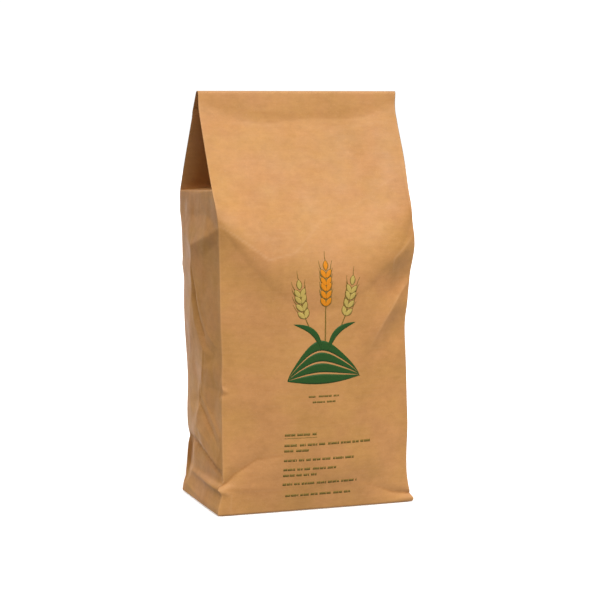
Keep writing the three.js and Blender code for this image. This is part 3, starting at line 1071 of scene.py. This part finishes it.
def ear(olive, fill, foot, tip, bend, pairs):
    """One ear on its stalk: grains in pairs up the last part of it, one at the tip, and awns."""
    path = bowed(foot, tip, bend, EAR_STEPS)
    widths = [lerp(STALK_FOOT_WIDTH, STALK_TOP_WIDTH, i / STALK_STEPS) for i in range(STALK_STEPS + 1)]
    olive.strip(path[:STALK_STEPS + 1], widths)
    for k in range(pairs + 1):
        i = min(EAR_STEPS - 1, int((EAR_START + EAR_LENGTH * k / pairs) * EAR_STEPS))
        heading = math.atan2(path[i + 1][1] - path[i][1], path[i + 1][0] - path[i][0])
        turns = (0.0,) if k == pairs else (-GRAIN_TURN, GRAIN_TURN)
        for turn in turns:
            base = further(path[i], heading + turn, GRAIN_START)
            top = further(path[i], heading + turn, GRAIN_END)
            fill.leaf(base, top, GRAIN_WIDTH - GRAIN_MARGIN)
            olive.outline(base, top, GRAIN_WIDTH, PEN)
            end = further(top, heading + turn * AWN_TURN, AWN)
            olive.strip(bowed(top, end, AWN_BEND, len(AWN_WIDTHS) - 1), AWN_WIDTHS, across=1)


def dashes(olive, draw, left, right, z, height=TEXT_HEIGHT):
    """A row of word-like dashes."""
    x = left
    while x < right:
        word = min(right, x + draw.uniform(*WORD_LENGTHS))
        while x < word - SHORTEST_DASH:
            end = min(word, x + draw.uniform(*DASH_LENGTHS))
            steps = max(2, round((end - x) / DASH_STEP))
            olive.grid([
                [(lerp(x, end, i / steps), z + height * j / 2) for i in range(steps + 1)] for j in range(3)
            ])
            x = end + DASH_GAP
        x = word + WORD_GAP


def printed_sheets():
    """The sheets of the design, one for each ink."""
    sheets = {name: Sheet() for name in INKS}
    green, olive = sheets["print_green"], sheets["print_olive"]
    mound(green)
    for name, foot, tip, bend, pairs in EARS:
        ear(olive, sheets[name], (PRINT_X + foot[0], foot[1]), (PRINT_X + tip[0], tip[1]), bend, pairs)
    for side in (-1, 1):
        base = (PRINT_X + side * LEAF_BASE[0], LEAF_BASE[1])
        tip = (PRINT_X + side * LEAF_TIP[0], LEAF_TIP[1])
        green.leaf(base, tip, LEAF_WIDTH, side * LEAF_BEND, LEAF_CURVE_STEPS)
    draw = random.Random(DASH_SEED)
    for z, right in TEXT_ROWS:
        dashes(olive, draw, TEXT_LEFT, right, z)
    line = bowed((TEXT_LEFT, UNDERLINE_Z), (TEXT_ROWS[0][1], UNDERLINE_Z), 0.0, UNDERLINE_STEPS)
    olive.strip(line, [UNDERLINE_WIDTH] * len(line), across=1)
    z, left, right = FOOT_ROW
    dashes(olive, draw, left, right, z)
    for z, left, right in CAPTION_ROWS:
        dashes(olive, draw, left, right, z, CAPTION_HEIGHT)
    return sheets


# The glued seam, the mouth's plies and the pasted base, with sizes in millimetres

SEAM_LEFT = 16.0
SEAM_RIGHT = 35.0
SEAM_FOOT = 1.6
SEAM_TOP = FLAP_EDGE_Z + 3
SEAM_ROW_STEP = 1.3
SEAM_COLUMNS = 14
SEAM_PROUD = 0.18
SEAM_THICKNESS = 0.3
PLY_EDGES = [(1.5, 0.25), (0.9, 0.70), (1.2, 1.12)]  # how far each ply hangs below the flap, and stands out
PLY_STEPS = 120
PLY_END = 0.997
PLY_WAVE = 0.25
PLY_WAVE_RATE = 2.5
PLY_WAVE_PLACE = (3.1, 0.7)
PLY_SLANT = 0.3
PLY_ROW_STEP = 3
PLY_ROOT_Z = FLAP_EDGE_Z + 4
PLY_SPRING = 0.08
PLY_SPRING_SPAN = 6
BASE_END_X = -71.4  # the flaps are given for the left end and the front
BASE_SIDE_Y = 1.6 - HALF_DEPTH
END_FLAP_REACH = 44
END_FLAP_TIP = 8
SIDE_FLAP_SLIP = 1
SIDE_FLAP_SLANT = 31
SIDE_FLAP_OVERLAP = 12
# Each flap's shape, which way round it lies, and the heights of its two faces
BASE_FLAPS = {
    "base_end_left": ("end", 1, 0.18, 0.33),
    "base_end_right": ("end", -1, 0.18, 0.33),
    "base_side_front": ("side", 1, 0.08, 0.22),
    "base_side_back": ("side", -1, 0.0, 0.14),
}


def back_seam():
    """The glued overlap that runs up the back panel."""
    seam = Sheet()
    seam.grid([
        [(lerp(SEAM_LEFT, SEAM_RIGHT, j / SEAM_COLUMNS), z) for j in range(SEAM_COLUMNS + 1)]
        for z in np.arange(SEAM_FOOT, SEAM_TOP, SEAM_ROW_STEP)
    ])
    return seam


def ply_row(k, drop, out, u):
    """One ply's points at u, from its cut edge, where it springs away from the panel, up to its root."""
    wave = PLY_WAVE * noise.noise(Vector((u * PLY_WAVE_RATE, k * PLY_WAVE_PLACE[0], PLY_WAVE_PLACE[1])))
    low_z = FLAP_EDGE_Z - drop - wave + PLY_SLANT * k * u
    x = lerp(EDGE_X["back_left"](low_z), EDGE_X["back_right"](low_z), (u + 1) / 2)
    row = []
    for z in (low_z, low_z + PLY_ROW_STEP, PLY_ROOT_Z):
        spring = PLY_SPRING * (k + 1) * (PLY_ROOT_Z - z) / PLY_SPRING_SPAN
        row.append((x, back_y(np.float64(u), np.float64(z), with_flap=False) + out + spring, z))
    return row


def flap_plies(material):
    """The cut edges of the mouth's plies, which stand a little below the flap."""
    for k, (drop, out) in enumerate(PLY_EDGES):
        ply = Sheet()
        across = np.linspace(-PLY_END, PLY_END, PLY_STEPS + 1).tolist()
        ply.grid([ply_row(k, drop, out, u) for u in across])
        inside = (np.array(ply.points) + SLIDE) * MM
        outside = inside + np.array([0, PLY, 0]) * MM
        dress(thin_solid(f"flap_ply_{k + 1}", outside, inside, ply.faces, smooth=False), material)


def base_flaps(material):
    """The pasted flaps of the block bottom, folded flat under the bag."""
    x, y = BASE_END_X, BASE_SIDE_Y
    tip_x = x + END_FLAP_REACH
    slip_x = x + SIDE_FLAP_SLIP
    slant_x = x + SIDE_FLAP_SLANT
    shapes = {
        "end": [(x, y), (x, -y), (tip_x, END_FLAP_TIP), (tip_x, -END_FLAP_TIP)],
        "side": [(slip_x, y), (slant_x, SIDE_FLAP_OVERLAP), (-slant_x, SIDE_FLAP_OVERLAP), (-slip_x, y)],
    }
    for name, (shape, way, low, high) in BASE_FLAPS.items():
        sides = [[(way * px, way * py, z) for px, py in shapes[shape]] for z in (high, low)]
        top, bottom = (np.array(sides) + SLIDE) * MM
        dress(thin_solid(name, top, bottom, [(0, 1, 2, 3)], smooth=False), material)


# The stage

def floor():
    half = FLOOR_HALF_WIDTH
    verts = [(-half, -half, 0), (half, -half, 0), (half, half, 0), (-half, half, 0)]
    plane = mesh_object("floor", verts, [(0, 1, 2, 3)], smooth=False)
    material, tree, shader, coordinates = new_material("floor_white")
    clouds = fine_noise(tree, coordinates, scale=FLOOR_CLOUDS)
    give(tree, shader, {
        "Base Color": mixed(tree, clouds, FLOOR_GREY, FLOOR_WHITE),
        "Roughness": FLOOR_ROUGHNESS,
        "Specular IOR Level": FLOOR_SPECULAR,
        "Emission Color": (1, 1, 1, 1),
        "Emission Strength": FLOOR_GLOW,
    })
    plane.data.materials.append(material)
    plane.visible_diffuse = False  # the world gives the bag the ground's light
    plane.visible_glossy = False


def soft_sun(name, azimuth, elevation, width, strength, colour):
    """A softbox so large and far that it lights the whole floor evenly."""
    light = bpy.data.lights.new(name, "SUN")
    light.angle = math.radians(width)
    light.energy = strength
    light.color = colour
    lamp = bpy.data.objects.new(name, light)
    a, e = math.radians(azimuth), math.radians(elevation)
    towards = Vector((math.sin(a) * math.cos(e), -math.cos(a) * math.cos(e), math.sin(e)))
    lamp.rotation_euler = towards.to_track_quat("Z", "Y").to_euler()
    lamp.location = towards * LAMP_DISTANCE
    bpy.context.scene.collection.objects.link(lamp)
    return lamp


def bounce_card():
    """A low card beside the left gusset, for the light that the table throws up."""
    light = bpy.data.lights.new("bounce", "AREA")
    light.size = CARD_SIZE
    light.energy = CARD_POWER
    card = bpy.data.objects.new("bounce", light)
    card.location = CARD_PLACE
    card.rotation_euler = (Vector(CARD_PLACE) - Vector(CARD_AIM)).to_track_quat("Z", "Y").to_euler()
    card.visible_camera = False
    card.visible_glossy = False
    bpy.context.scene.collection.objects.link(card)


def world_light(tree):
    """How bright the world is in each direction, for all rays but the camera's."""
    direction = shader_node(tree, "ShaderNodeTexCoord").outputs["Generated"]
    axes = shader_node(tree, "ShaderNodeSeparateXYZ", {0: direction}).outputs
    yaw = math.radians(CAMERA_YAW)
    values = {0: direction, 1: (math.sin(yaw), math.cos(yaw), SHEEN_HEIGHT)}
    towards = shader_node(tree, "ShaderNodeVectorMath", values, operation="DOT_PRODUCT").outputs["Value"]
    ground = spread(tree, axes["X"], *GROUND_SPAN, GROUND_LEFT, GROUND)
    below = spread(tree, axes["Z"], *HORIZON_SPAN, 1.0, 0.0)
    sheen = spread(tree, towards, *SHEEN_SPAN, ROOM, SHEEN)
    values = {0: sheen, 1: mixed_value(tree, below, ROOM, ground)}
    return shader_node(tree, "ShaderNodeMath", values, operation="MAXIMUM").outputs[0]


def studio():
    """The world and the three lights."""
    world = bpy.data.worlds.new("studio")
    world.use_nodes = True
    tree = world.node_tree
    seen = shader_node(tree, "ShaderNodeLightPath").outputs["Is Camera Ray"]
    strength = mixed_value(tree, seen, world_light(tree), BACKDROP)
    give(tree, tree.nodes["Background"], {"Strength": strength, "Color": (1, 1, 1, 1)})
    bpy.context.scene.world = world
    soft_sun("key", *KEY)
    rim = soft_sun("rim", *RIM)
    rim.visible_glossy = False
    bounce_card()
    bpy.context.scene.view_settings.view_transform = "Standard"


def camera():
    data = bpy.data.cameras.new("camera")
    data.sensor_width = SENSOR
    data.lens = FOCAL_LENGTH
    seen = bpy.data.objects.new("camera", data)
    place = (np.array(CAMERA_PLACE) + SLIDE) * MM
    seen.location = place.tolist()
    yaw, down = math.radians(CAMERA_YAW), math.radians(CAMERA_DOWN)
    forward = Vector((math.sin(yaw) * math.cos(down), math.cos(yaw) * math.cos(down), -math.sin(down)))
    seen.rotation_euler = forward.to_track_quat("-Z", "Y").to_euler()
    bpy.context.scene.collection.objects.link(seen)
    bpy.context.scene.camera = seen


def build():
    camera()
    studio()
    floor()
    kraft = kraft_material()
    skin = bag_skin(kraft)
    bpy.context.view_layer.update()
    tree = BVHTree.FromObject(skin, bpy.context.evaluated_depsgraph_get())
    sheets = printed_sheets()
    for name, (colour, paper_share, proud) in INKS.items():
        print_piece = lay_on(tree, sheets[name], name, proud, INK_THICKNESS)
        dress(print_piece, ink_material(name, colour, paper_share))
    dress(lay_on(tree, back_seam(), "back_seam", SEAM_PROUD, SEAM_THICKNESS, facing=1), kraft)
    flap_plies(kraft)
    base_flaps(kraft)


build()
